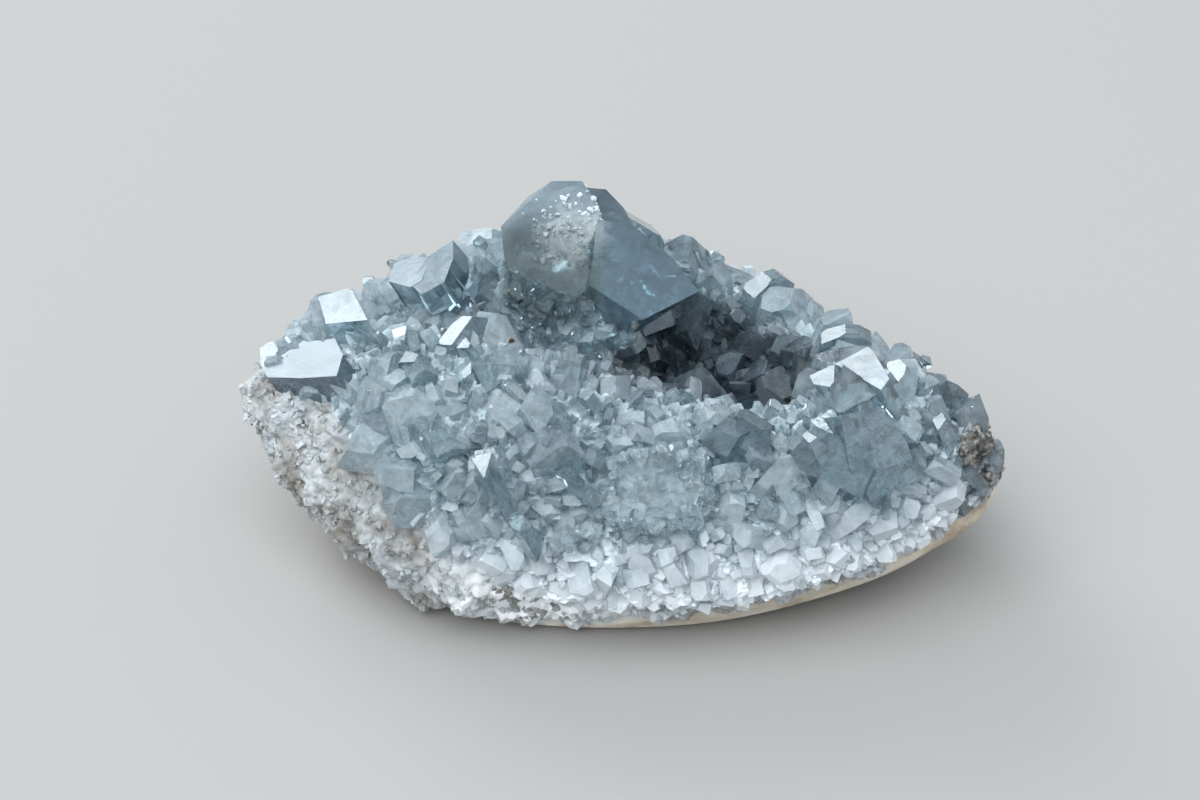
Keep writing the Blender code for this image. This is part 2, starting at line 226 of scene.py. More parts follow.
def close_ends(mesh):
    """Each open end of a rolled-up grid gets one face over it."""
    ends = bmesh.new()
    ends.from_mesh(mesh)
    bmesh.ops.holes_fill(ends, edges=[edge for edge in ends.edges if edge.is_boundary])
    ends.to_mesh(mesh)
    ends.free()


def add_piece(name, mesh, finish, smooth):
    """The piece itself: an object at the origin with its mesh and its one material."""
    made = bpy.data.objects.new(name, mesh)
    bpy.context.scene.collection.objects.link(made)
    mesh.materials.clear()
    mesh.materials.append(finish)
    mesh.polygons.foreach_set("use_smooth", np.full(len(mesh.polygons), smooth))
    return made


def set_attribute(mesh, name, values):
    """One number for each point of a mesh, which its material reads by name."""
    kept = mesh.attributes.new(name, "FLOAT", "POINT")
    kept.data.foreach_set("value", np.asarray(values, np.float32))


def shader_nodes(name):
    """A new material, its node tree and its Principled shader."""
    made = bpy.data.materials.new(name)
    made.use_nodes = True
    return made, made.node_tree, made.node_tree.nodes["Principled BSDF"]


def node(tree, kind, links=None, **values):
    """A shader node with its settings or socket values, and links {its input: another's output}."""
    made = tree.nodes.new(kind)
    for key, value in values.items():
        if key in made.inputs:
            made.inputs[key].default_value = value
        else:
            setattr(made, key, value)
    for key, source in (links or {}).items():
        tree.links.new(source, made.inputs[key])
    return made


def ramp(tree, source, stops):
    """A colour ramp over (position, linear colour) stops."""
    made = tree.nodes.new("ShaderNodeValToRGB")
    made.color_ramp.elements.remove(made.color_ramp.elements[1])
    for index, (position, colour) in enumerate(stops):
        band = made.color_ramp.elements[0] if index == 0 else made.color_ramp.elements.new(position)
        band.position = position
        band.color = (*colour, 1)
    tree.links.new(source, made.inputs["Fac"])
    return made.outputs["Color"]


def mixed(tree, factor, first, second, blend="MIX"):
    """One colour over another by a factor. Each is a socket or a linear colour."""
    made = tree.nodes.new("ShaderNodeMix")
    made.data_type = "RGBA"
    made.blend_type = blend
    for index, value in ((0, factor), (6, first), (7, second)):
        if isinstance(value, bpy.types.NodeSocket):
            tree.links.new(value, made.inputs[index])
        elif index == 0:
            made.inputs[0].default_value = value
        else:
            made.inputs[index].default_value = (*value, 1)
    return made.outputs[2]


def attribute(tree, name):
    """A mesh attribute's number, as a socket."""
    return node(tree, "ShaderNodeAttribute", attribute_name=name).outputs["Fac"]


def rock_surface():
    """Rows of the closed matrix from the middle of the rest spot up to the hollow's floor, with how
    far each point is ground rind, covered bed and crack. Broken rock is pushed out by cobbles and
    by facets that tilt through them, and the ground rind reaches up to its own level all round."""
    station = np.arange(ROCK_COLUMNS) * STATIONS / ROCK_COLUMNS
    edge = bed_point(station, np.zeros(ROCK_COLUMNS))
    angle = np.arctan2(edge[:, 1] / REST_SHORT, edge[:, 0] / REST_LONG)
    rest = np.stack([REST_LONG * np.cos(angle), REST_SHORT * np.sin(angle), 0 * angle], axis=1)
    turn = np.linspace(0, math.pi / 2, RIND_ROWS, endpoint=False)[:, None, None]
    outward = np.concatenate([np.sin(turn), np.sin(turn), 1 - np.cos(turn)], axis=2)
    rind = (rest + (edge - rest) * outward).reshape(-1, 3)
    broken = np.linspace(0, BROKEN_TO, BROKEN_ROWS, endpoint=False)
    bed = np.linspace(BROKEN_TO, len(RINGS) - 1, BED_ROWS)
    level = np.repeat(np.concatenate([broken, bed]), ROCK_COLUMNS)
    around = np.tile(station, BROKEN_ROWS + BED_ROWS)
    points = bed_point(around, level)
    cover = crust_cover(around, level)
    ground = spline_weights(around, STATIONS, True) @ np.array(RIND_TO)
    ground = ground + RIND_WANDER * rough(points, 12, 31)
    bare = np.clip((level - ground) / RIND_BREAK, 0, 1)
    lumps = ROCK_LUMP * rough(points, ROCK_LUMP_SIZE, 1)
    near, second, facet = cobbles(points + 0.5 * rough(points, 3, 4)[:, None], COBBLE_SIZE, 7)
    fine, _, fine_facet = cobbles(points, GRAIN_SIZE, 8)
    swell = np.clip(0.75 - near, 0, 1) * COBBLE * 1.6 + (0.5 - fine) * GRAIN
    swell = swell + COBBLE_FACET * facet + GRAIN_FACET * fine_facet
    push = (lumps * (1 - cover) + swell * (1 - 0.7 * cover)) * bare
    points = points + bed_normal(around, level) * push[:, None]
    stain = np.clip(0.35 + 1.3 * rough(points, 8, 21), 0, 1)
    crack = np.clip(1 - 4 * (second - near), 0, 1) * bare * stain
    crack = np.maximum(crack, 0.75 * bare * np.clip(1.8 * rough(points, 6, 41) - 0.6, 0, 1))
    # Milky patch at the front underside: whiter stone, brightened further as painted light
    away = np.linalg.norm((points - MILKY_AND_LIT_AT) / MILKY_AND_LIT_REACH, axis=1) + 0.3 * rough(points, 6, 51)
    milky = np.clip(1.6 - 1.4 * away, 0, 1) * bare
    crack = crack * (1 - milky)
    return (
        np.vstack([rind, points]),
        np.concatenate([np.ones(len(rind)), 1 - bare]),
        np.concatenate([np.zeros(len(rind)), cover]),
        np.concatenate([np.zeros(len(rind)), crack]),
        np.concatenate([np.zeros(len(rind)), milky]),
    )


def rock_finish():
    """Chalky white-grey rock: brown-grey stains in its cracks, a cream rind, milky under crystals, and a
    white patch at the front underside that is partly whiter stone and partly painted light.
    """
    made, tree, shader = shader_nodes("broken pale rock")
    place = node(tree, "ShaderNodeTexCoord").outputs["Object"]
    blotch = node(tree, "ShaderNodeTexNoise", {"Vector": place}, Scale=130, Detail=5, Roughness=0.62)
    speck = node(tree, "ShaderNodeTexNoise", {"Vector": place}, Scale=900, Detail=4, Roughness=0.7)
    body = ramp(
        tree,
        blotch.outputs["Fac"],
        [(0.34, (0.21, 0.20, 0.18)), (0.44, (0.34, 0.35, 0.345)), (0.56, (0.49, 0.53, 0.55))],
    )
    grain = ramp(tree, speck.outputs["Fac"], [(0.35, (0.76, 0.75, 0.74)), (0.6, (1.06, 1.06, 1.06))])
    body = mixed(tree, 1.0, body, grain, "MULTIPLY")
    body = mixed(tree, attribute(tree, "crack"), body, (0.29, 0.26, 0.22))
    # The milky patch: whiter stone, plus painted light on the down-facing front
    body = mixed(tree, attribute(tree, "milky"), body, (0.92, 0.95, 0.96))
    body = mixed(tree, attribute(tree, "cover"), body, (0.56, 0.64, 0.68))
    cream = ramp(
        tree,
        blotch.outputs["Fac"],
        [(0.35, (0.42, 0.34, 0.25)), (0.5, (0.68, 0.60, 0.48)), (0.66, (0.80, 0.75, 0.66))],
    )
    body = mixed(tree, attribute(tree, "rind"), body, cream)
    tree.links.new(body, shader.inputs["Base Color"])
    shader.inputs["Roughness"].default_value = ROCK_DULLNESS
    bump = node(
        tree,
        "ShaderNodeBump",
        {"Height": speck.outputs["Fac"]},
        Strength=0.5,
        Distance=0.0003,
    )
    tree.links.new(bump.outputs["Normal"], shader.inputs["Normal"])
    return made


rock_points, rind_share, cover_share, crack_share, milky_and_lit_share = rock_surface()
rock_rows = RIND_ROWS + BROKEN_ROWS + BED_ROWS
rock_mesh = mesh_of("matrix_rock", rock_points, grid_faces(rock_rows, ROCK_COLUMNS))
set_attribute(rock_mesh, "rind", rind_share)
set_attribute(rock_mesh, "cover", cover_share)
set_attribute(rock_mesh, "crack", crack_share)
set_attribute(rock_mesh, "milky", milky_and_lit_share)
close_ends(rock_mesh)
matrix_rock = add_piece("matrix_rock", rock_mesh, rock_finish(), True)
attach(matrix_rock, "root")
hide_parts("matrix")


# Dark knobs of the rock that the hollow formed in still cling to the right end of the matrix. They are
# grown on it, granular, and dusted with paler rock.

# Centre and radius of each knob, in mm
HOST_KNOBS = (
    ((61.5, -4, 23), 4.6), ((60.5, 2, 21), 5), ((58, 9, 20), 5.5), ((62.5, -9.5, 21.5), 3.3),
    ((60.5, -9.5, 26), 2.8),
)
KNOB_COLUMNS = 72
KNOB_ROWS = 40
KNOB_LUMP = 1.6
KNOB_LUMP_SIZE = 4.0
KNOB_FACET = 0.9
KNOB_FACET_SIZE = 1.6


def knob(centre, radius):
    """A ball by latitude and longitude, pushed out by coarse and fine noise and by tilted facets."""
    latitude = np.linspace(-1.45, 1.45, KNOB_ROWS)[:, None]
    longitude = np.linspace(0, math.tau, KNOB_COLUMNS, endpoint=False)[None]
    east = np.cos(latitude) * np.cos(longitude)
    north = np.cos(latitude) * np.sin(longitude)
    outward = np.stack([east, north, np.sin(latitude) + 0 * longitude], axis=-1).reshape(-1, 3)
    points = np.array(centre) + outward * radius
    _, _, facet = cobbles(points, KNOB_FACET_SIZE, 61)
    push = KNOB_LUMP * rough(points, KNOB_LUMP_SIZE, 60) + KNOB_FACET * facet
    return points + outward * push[:, None]


def host_finish():
    """Grey-brown host rock, near black in its pits, with paler dust on the high places."""
    made, tree, shader = shader_nodes("dark host rock")
    place = node(tree, "ShaderNodeTexCoord").outputs["Object"]
    blotch = node(tree, "ShaderNodeTexNoise", {"Vector": place}, Scale=420, Detail=6, Roughness=0.75)
    pits = [(0.38, (0.012, 0.012, 0.012)), (0.49, (0.07, 0.068, 0.062))]
    dust = [(0.57, (0.20, 0.195, 0.18)), (0.67, (0.5, 0.52, 0.52))]
    body = ramp(tree, blotch.outputs["Fac"], pits + dust)
    tree.links.new(body, shader.inputs["Base Color"])
    shader.inputs["Roughness"].default_value = 0.7
    bump = node(tree, "ShaderNodeBump", {"Height": blotch.outputs["Fac"]}, Strength=0.6, Distance=0.0004)
    tree.links.new(bump.outputs["Normal"], shader.inputs["Normal"])
    return made


knob_points = [knob(centre, radius) for centre, radius in HOST_KNOBS]
knob_faces = grid_faces(KNOB_ROWS, KNOB_COLUMNS)
shifts = np.arange(len(HOST_KNOBS))[:, None, None] * KNOB_ROWS * KNOB_COLUMNS
host_mesh = mesh_of("host_rock", np.vstack(knob_points), (knob_faces + shifts).reshape(-1, 4))
close_ends(host_mesh)
host_rock = add_piece("host_rock", host_mesh, host_finish(), True)
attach(host_rock, "root")


# Grains and chips of the white rock stand out of its broken sides, half sunk in it. They are the same
# chalky stone, about a millimetre across, and none of them is loose.

GRAIN_COUNT = 2000
GRAIN_SEED = 9
GRAIN_BODY = (0.5, 1.5)
GRAIN_BROAD = (0.6, 1)
GRAIN_FLAT = (0.5, 1.0)


def frames_of(axes, spins):
    """Rotation matrices whose third column is each unit axis, turned about it by its spin."""
    aside = np.cross(axes, np.where(np.abs(axes[:, 1:2]) < 0.9, (0.0, 1, 0), (1.0, 0, 0)))
    aside /= np.linalg.norm(aside, axis=1, keepdims=True)
    ahead = np.cross(axes, aside)
    cosine, sine = np.cos(spins)[:, None], np.sin(spins)[:, None]
    return np.stack([cosine * aside + sine * ahead, cosine * ahead - sine * aside, axes], axis=2)


def chips():
    """Small uneven blocks, each a cube with its corners moved at random, half sunk in the rock."""
    chance = np.random.default_rng(GRAIN_SEED)
    station = chance.uniform(0, STATIONS, 6 * GRAIN_COUNT)
    level = chance.uniform(0.05, BROKEN_TO, 6 * GRAIN_COUNT)
    ground = spline_weights(station, STATIONS, True) @ np.array(RIND_TO)
    keep = (crust_cover(station, level) < 0.9) & (level > ground + 0.06)
    station, level = station[keep][:GRAIN_COUNT], level[keep][:GRAIN_COUNT]
    places = bed_point(station, level)
    normals = bed_normal(station, level)
    places += normals * (ROCK_LUMP * rough(places, ROCK_LUMP_SIZE, 1) + 0.3)[:, None]
    axes = normals + chance.normal(0, 0.7, places.shape)
    axes /= np.linalg.norm(axes, axis=1, keepdims=True)
    turned = frames_of(axes, chance.uniform(0, math.tau, len(places)))
    cube = np.array(list(itertools.product((-0.5, 0.5), repeat=3)))
    corners = cube[None] * chance.uniform(0.55, 1.2, (len(places), 8, 3))
    size = chance.uniform(*GRAIN_BODY, (len(places), 1))
    broad = chance.uniform(*GRAIN_BROAD, len(places))
    flat = chance.uniform(*GRAIN_FLAT, len(places))
    body = size * np.stack([np.ones(len(places)), broad, flat], axis=1)
    points = np.einsum("nij,nkj->nki", turned, corners * body[:, None]) + places[:, None]
    quads = np.array([(0, 1, 3, 2), (4, 6, 7, 5), (0, 4, 5, 1), (2, 3, 7, 6), (0, 2, 6, 4), (1, 5, 7, 3)])
    triangles = np.concatenate([quads[:, :3], quads[:, (0, 2, 3)]])
    faces = triangles[None] + 8 * np.arange(len(places))[:, None, None]
    return points.reshape(-1, 3), faces.reshape(-1, 3)


grain_points, grain_faces = chips()
grain_mesh = mesh_of("rock_grains", grain_points, grain_faces)
rock_grains = add_piece("rock_grains", grain_mesh, matrix_rock.data.materials[0], False)
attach(rock_grains, "root")


# The crystals are glassy pale blue prisms with chisel-shaped tips, grown together into one crust.
# Some forty named ones stand among more than a thousand others, and the finest sit on their faces.

CRYSTAL_SEED = 5
FORMS = 30

# Size classes: how many tries, spacing, width from and to, how far tips stand off the bed
SIZES = (
    (6000, 6.4, (6.4, 10.0), (5.8, 9.0)),
    (9000, 4.6, (4.4, 7.0), (4.8, 7.8)),
    (14000, 3.2, (2.8, 4.6), (3.8, 6.2)),
    (24000, 2.0, (1.6, 3.0), (3.2, 5.0)),
)
LEAN = 0.6
ROOT_DEPTH = 3.0
FINE_BELOW = (0.8, 1.7)
FINE_SHARE = 0.36
FINE_MILK = 1.0
PERCHED = 450
PERCHED_WIDTH = (0.8, 2.3)
KNOB_CLEAR = 1.6
SHORT_SHARE = 0.5
MOST_CRYSTALS = 9000

# How milky a crystal is: the least, how much more by chance, and the most where they are finest
LEAST_MILK = 0.2
MORE_MILK = 0.5
MOST_MILK = 1.2
MOST_TONE = 0.7
PLAIN_TONE = 0.25
BACK_TONE = 0.5

# The hollow begins at this level and right of this place, in mm. Its crystals are given a deeper
# tone and less milk than the others, as painted shade for the shadowed inside of the hollow.
HOLLOW_SHADE_FROM = 2.9
HOLLOW_SHADE_RIGHT_OF = -1
HOLLOW_SHADE_ACROSS = 6
HOLLOW_SHADE_TONE = 0.76
HOLLOW_SHADE_MILK = -0.15

# Crystals near the dark knobs are dusky. Those in a pocket at the hollow's near lip are darkened as painted
# shade
DUSKY_REACH = 5
DUSKY_TONE = 0.6
POCKET_AT = np.array([26, -2, 32])
POCKET_REACH = 6
POCKET_SHADE_TONE = 0.95
POCKET_OPEN = 4.5
DEEP_TONE = (0.10, 0.17, 0.22)
CELESTITE_IOR = 1.62
PALE_BLUE = (0.55, 0.77, 0.84)
TINT_DENSITY = 42

# Towards the side that the cluster is looked at from, where nothing stands before a named face
OUTLOOK = np.array([0, -0.82, 0.57])

# Named large crystals, in mm: tip, axis, width, length, spin in degrees
LARGE_CRYSTALS = {
    "left_corner": ((-53, 9, 35), (-0.55, 0.05, 0.9), 11, 13, 0),
    "right_peak_side": ((51, -4, 38), (0.50, -0.20, 0.8), 9, 13, 80),
    "right_peak_back": ((44, 2, 39), (0.25, 0.25, 1.0), 11, 13, 10),
    "striated": ((-8, -25, 39), (-0.10, -0.60, 0.8), 9, 14, 5),
    "dark_pair_left": ((20, -20, 38), (-0.20, -0.45, 0.9), 7, 12, 40),
    "dark_pair_right": ((25, -19, 38), (0.30, -0.45, 0.9), 7, 12, 85),
    "front_left_prism": ((-19, -27, 33), (-0.35, -0.80, 0.5), 10, 14, 60),
    "front_step": ((-27, -21, 39), (-0.30, -0.55, 0.8), 9, 13, 15),
    "plateau_left": ((-16, -11, 46), (-0.10, -0.40, 0.9), 9, 12, 30),
    "plateau_right": ((-4, -10, 44), (0.10, -0.45, 0.9), 8, 12, 70),
    "back_high": ((4, 38, 45), (0.05, 0.30, 1.0), 13, 17, 25),
    "back_pale": ((16, 46, 34), (0.15, 0.35, 0.9), 12, 16, 60),
    "back_middle": ((30, 39, 31), (0.10, 0.10, 1.0), 10, 15, 40),
    "back_right": ((43, 20, 32), (0.15, 0.00, 1.0), 9, 14, 10),
    "back_left": ((-22, 28, 38), (-0.20, 0.25, 1.0), 11, 15, 50),
    "right_end": ((56, -9, 32), (0.45, -0.45, 0.8), 8, 12, 35),
}

# Faces that catch the window, all turned the same way, and the other named ones, in mm, read off the
# photograph to half a millimetre: centre, direction, outline on the face as steps across and up,
# depth, how much wider the foot is, frost on that face and depth of tone
GLINT = (-0.42, -0.10, 0.90)
FACED_CRYSTALS = {
    "left_white": (
        (-49.5, 1.8, 36.3), GLINT,
        ((-4, -7), (-4.5, -4.5), (-5.5, 0.5), (-1.5, 6.5), (4, 7), (8.5, 5), (4, -1), (-1, -6.5)),
        9, 1.05, 0.6, 0.72,
    ),
    "white_block": (
        (-43.3, 10.0, 42.4), GLINT,
        ((-5.5, -3.5), (-3.5, 1.5), (-2, 2.5), (8, 3.5), (3, -3.5)), 9, 1.05, 0.05, 0.1,
    ),
    "left_wedge": (
        (-29.4, 11.1, 48.9), (-0.35, -0.35, 0.87),
        ((-4, -5), (-5.5, -2), (-3.5, 1), (-0.5, 2), (1.5, -2), (0.5, -4)), 10, 1.1, 0.6, 0.5,
    ),
    "right_wedge": (
        (-29.4, 11.1, 48.9), (-0.30, -0.42, 0.86),
        ((-0.5, 2), (2, 6.5), (4, 3.5), (5, -1), (2.5, -4.5), (-0.5, -3.5)), 11, 1.15, 0.5, 0.5,
    ),
    "right_peak_step": (
        (36.6, -7.6, 39.5), GLINT,
        ((-2.5, -2), (-2, 2.5), (2, 1), (2.5, 0), (0, -2)), 8, 1.2, 0.05, 0.1,
    ),
    "right_peak": (
        (43.2, -6.4, 40.8), GLINT,
        ((-4.5, -4), (-4.5, 2), (-3, 2.5), (5.5, 2.5), (7, 0.5)), 10, 1.1, 0.05, 0.1,
    ),
    "right_peak_front": (
        (40.7, -9.9, 38.8), (-0.1, -0.75, 0.65),
        ((-1.5, 4), (2, 2), (5, 0), (-1.5, -4), (-4, -2)), 8, 1.2, 0.05, 0.3,
    ),
    "blue_prism": (
        (36.4, -24.4, 35.4), (-0.35, -0.65, 0.67),
        ((0, 4), (7.5, 0.5), (7, -4.5), (-4, -3), (-6.5, -1), (-4, 4.5)), 10, 1.05, 0.0, 0.6,
    ),
    "blue_prism_right": (
        (44.0, -24.4, 37.0), (0.2, -0.75, 0.63),
        ((-5, 6.5), (1.5, 7), (5, 1), (6, -5.5), (-2.5, -7.5), (-5, -2)), 10, 1.05, 0.0, 0.45,
    ),
    "pale_block": (
        (9.4, -27.3, 32.0), (-0.1, -0.7, 0.7),
        ((-7, 3.5), (4.5, 7), (6.5, 3), (5, -4.5), (-5.5, -5)), 10, 1.35, 0.0, 0,
    ),
    "triangle": ((-18.7, -26.0, 36.0), GLINT, ((-3, -1.5), (-1, 2), (4, -0.5)), 7, 1.6, 0, 0.2),
    "lens": (
        (-27.8, -18.8, 37.6), GLINT,
        ((1, -1.5), (-2.5, 0), (-2.5, 2.5), (1.5, 0.5), (2.5, -1.5)), 7, 1.4, 0, 0.2,
    ),
    "small_quad": (
        (-10.6, 2.4, 43.3), GLINT,
        ((-2.5, -1), (-2, 0.5), (1.5, 1), (3, 0.5), (0.5, -1)), 7, 1.5, 0, 0.2,
    ),
    "low_flat": (
        (-5.0, -26.0, 34.2), GLINT,
        ((-1.5, -2), (-1.5, 0), (1, 1.5), (2.5, 0.5)), 6, 1.6, 0, 0.2,
    ),
    "low_blade": (
        (-13.4, -30.2, 27.6), GLINT,
        ((-2, -1), (-2, 0.5), (0, 1.5), (3, 0), (1, -1)), 6, 1.5, 0.1, 0.2,
    ),
    "lip": ((13.2, -9.1, 37.2), GLINT, ((-1.5, -1.5), (-1.5, 0.5), (1, 1.5), (2, -0.5)), 6, 1.6, 0, 0.2),
    "low_right": (
        (12.8, -28.4, 28.4), GLINT,
        ((-1, -0.5), (-1.5, 0.5), (0, 1), (1.5, 0), (0.5, -0.5)), 5, 1.8, 0, 0.2,
    ),
    "sail": ((-22.2, -4.7, 44.6), GLINT, ((0.5, -1.5), (-3.5, 0), (1, 1), (2, 0.5)), 7, 1.5, 0, 0.2),
    "sliver": ((-21.4, -10.6, 43.0), GLINT, ((-0.5, -1), (-2, 1), (1, 0.5), (1.5, -1)), 6, 1.6, 0, 0.2),
    "chip": ((-37.2, 2.1, 41.7), GLINT, ((-1, -1), (0, 1), (1, 0)), 6, 2.2, 0, 0.2),
    "prism_spark": ((33.2, -23.0, 38.9), GLINT, ((-1, -1), (-1.5, 0), (1, 1), (1.5, -0.5)), 5, 1.6, 0, 0.2),
    "right_spark": ((55.4, -10.8, 33.3), GLINT, ((-1, -1), (-1.5, 1), (0.5, 1), (2, -1)), 5, 1.6, 0, 0.2),
    "hill_soft": (
        (-2.3, 0.2, 42.8), GLINT,
        ((-2, -1), (-2, 0.5), (0.5, 1.5), (2.5, 0.5), (1, -1.5)), 6, 1.5, 0.5, 0.2,
    ),
    "slope_soft": (
        (-2.1, -12.8, 40.0), GLINT,
        ((-0.5, -1.5), (-2, 1), (0.5, 1), (1.5, -0.5)), 6, 1.6, 0.3, 0.2,
    ),
    "peak_step": ((46.0, -4.9, 38.7), GLINT, ((-1.5, -1.5), (-0.5, 1), (1, 1.5), (1.5, -1)), 6, 1.5, 0, 0.2),
}

# The crown, in mm: two great blocks that lean together over the hollow, and one behind
CROWN_LEFT_FACE = (
    (-8.8, 5.2, 54.1), (-0.2, -0.75, 0.63),
    ((-8.5, 4.5), (3, 4), (6.5, 3), (8, -3.5), (5.5, -5.5), (-6, -2.5), (-7.5, 1)),
)
CROWN_LEFT = (
    (-15, 13, 56), (-12, 18, 58.5), (-8, 19, 61), (-3, 19, 61), (-1, 15, 60), (0, 11, 58.5),
    (-15, 8, 40), (-7, 1, 38), (4, 3, 38), (5, 15, 40), (-8, 21, 42),
)
CROWN_RIGHT_FACE = (
    (5.9, 2.8, 53.5), (0.22, -0.5, 0.84),
    ((-3, 10.5), (2.5, 8), (7, 0.5), (9, -6), (-2, -8.5), (-5, -4.5), (-8.5, -0.5)),
)
CROWN_RIGHT = (
    (14, 9, 48), (8, 16, 50), (-2, 18, 44), (-6, 6, 40), (5, 4, 40), (2, 14, 40),
)
CROWN_BEHIND = (
    (-3, 22, 58), (1, 23, 57), (4, 22, 54), (6, 18, 52), (-4, 15, 56), (-6, 22, 46), (5, 24, 44),
    (6, 14, 42), (-5, 14, 42),
)

# Spots, in mm: the crown's grey heart, its crust of white grains, and a brown stain on the pale
# block, each with the distances from its middle where it begins and where it is full
CROWN_HEART = (-9, 3, 53)
CROWN_HEART_FADE = (12, 8)
CROWN_GREY = (0.09, 0.125, 0.12)
CROWN_CRUST = (-4.5, 9, 57)
CROWN_CRUST_FADE = (10, 3)
CROWN_CRUST_REACH = 6.5
CROWN_CRUST_WANDER = 1.5
CROWN_CRUST_GRAINS = 1500
CRUST_WHITE = (0.50, 0.57, 0.57)
STAIN_AT = (7.1, -29.3, 33)
STAIN_FADE = (3.5, 0.5)
STAIN_BROWN = (0.60, 0.40, 0.22)

# Small crystals round the crown's foot, below a height in mm, and on the pale block outside its middle
CROWN_SKIRT = 520
CROWN_SKIRT_BELOW = 49.5
BLOCK_OVERGROWN = 260
BLOCK_BARE = 5


def corners_of(planes):
    """Every corner of the convex body inside planes given as rows of normal and distance."""
    planes = np.asarray(planes, float)
    count = len(planes)
    triples = np.array(list(itertools.combinations(range(count), 3)))
    normals = planes[triples, :3]
    solvable = np.abs(np.linalg.det(normals)) > 1e-4
    found = np.linalg.solve(normals[solvable], planes[triples[solvable], 3][..., None])[..., 0]
    inside = (found @ planes[:, :3].T <= planes[:, 3] + 1e-6).all(axis=1)
    return np.unique(found[inside].round(5), axis=0)


def hull_of(corners):
    """Points and faces of the convex body round some corners, flat faces left whole."""
    shape = bmesh.new()
    for corner in corners:
        shape.verts.new(Vector(corner))
    made = bmesh.ops.convex_hull(shape, input=shape.verts)
    inside = {item for item in made["geom_interior"] if isinstance(item, bmesh.types.BMVert)}
    bmesh.ops.delete(shape, geom=list(inside), context="VERTS")
    bmesh.ops.dissolve_limit(
        shape, angle_limit=math.radians(0.5), verts=shape.verts, edges=shape.edges
    )
    shape.verts.index_update()
    points = np.array([vert.co for vert in shape.verts], float)
    faces = [[vert.index for vert in face.verts] for face in shape.faces]
    shape.free()
    return points, faces


def crystal_form(chance):
    """A crystal one wide with its tip at the origin and its foot at -1: a four-sided prism, skewed a
    little, with some long edges cut off, under two wide roof faces and up to two end faces."""
    half_thick = chance.uniform(0.22, 0.5)
    shift = chance.uniform(-0.25, 0.25)
    planes = [(0, 0, -1, 1), (0, 0, 1, -chance.choice((0.0, 0.02, 0.08)))]
    for side in (1, -1):
        planes.append((side, 0, 0, 0.5))
        planes.append((0, side, 0, half_thick))
        for turn in (1, -1):
            if chance.random() < 0.45:
                slant = chance.uniform(0.6, 1.0)
                across, outward = math.sin(slant), math.cos(slant)
                corner = 0.5 * across + half_thick * outward
                planes.append((side * across, turn * outward, 0, corner * chance.uniform(0.72, 0.92)))
        roof = chance.uniform(0.45, 1.05)
        planes.append((side * math.sin(roof), 0, math.cos(roof), side * shift * math.sin(roof)))
        if chance.random() < 0.7:
            end = chance.uniform(0.6, 1.2)
            away = chance.uniform(0.1, 0.8) * half_thick
            planes.append((0, side * math.sin(end), math.cos(end), away * math.sin(end)))
    points, faces = hull_of(corners_of(planes))
    points[:, 0] += points[:, 1] * chance.uniform(-0.3, 0.3)
    return points, faces


def set_crystal(form, tip, frame_of_axis, width, length):
    """A form's points scaled to a width, its foot moved down to the length, turned and moved."""
    points, faces = form
    foot = points[:, 2] < -0.999
    scaled = points * width
    scaled[foot, 2] = -length
    return scaled @ frame_of_axis.T + tip, faces


def flat_face(centre, direction, outline):
    """The corners of an outline given as steps across and up on the plane across a direction."""
    direction = np.array(direction) / np.linalg.norm(direction)
    across = np.cross((0, 0, 1), direction)
    across /= np.linalg.norm(across)
    upward = np.cross(direction, across)
    return np.array(centre) + np.array(outline) @ np.stack([across, upward]), direction


def faced_crystal(centre, direction, outline, depth, spread, frost, tone):
    """A block under one named flat face: that face, and the same outline wider and deeper. Only the
    named face is frosted."""
    rim, direction = flat_face(centre, direction, outline)
    foot = rim.mean(axis=0) + (rim - rim.mean(axis=0)) * spread - direction * depth
    points, faces = hull_of(np.vstack([rim, foot]))
    named_face = [(points[face] @ direction).min() > centre @ direction - 0.3 for face in faces]
    share = np.array(named_face, float)
    return points, faces, 0.1 + 0.4 * frost * share, 0.05 + frost * share, tone


def shade_in_hollow(level, across, fade):
    """Mask of the hollow's painted shade: 0 outside, rising to 1 over `fade` levels and over a set width in
    mm to the right.
    """
    right = np.clip((across - HOLLOW_SHADE_RIGHT_OF) / HOLLOW_SHADE_ACROSS, 0, 1)
    return np.clip((level - HOLLOW_SHADE_FROM) / fade, 0, 1) * right


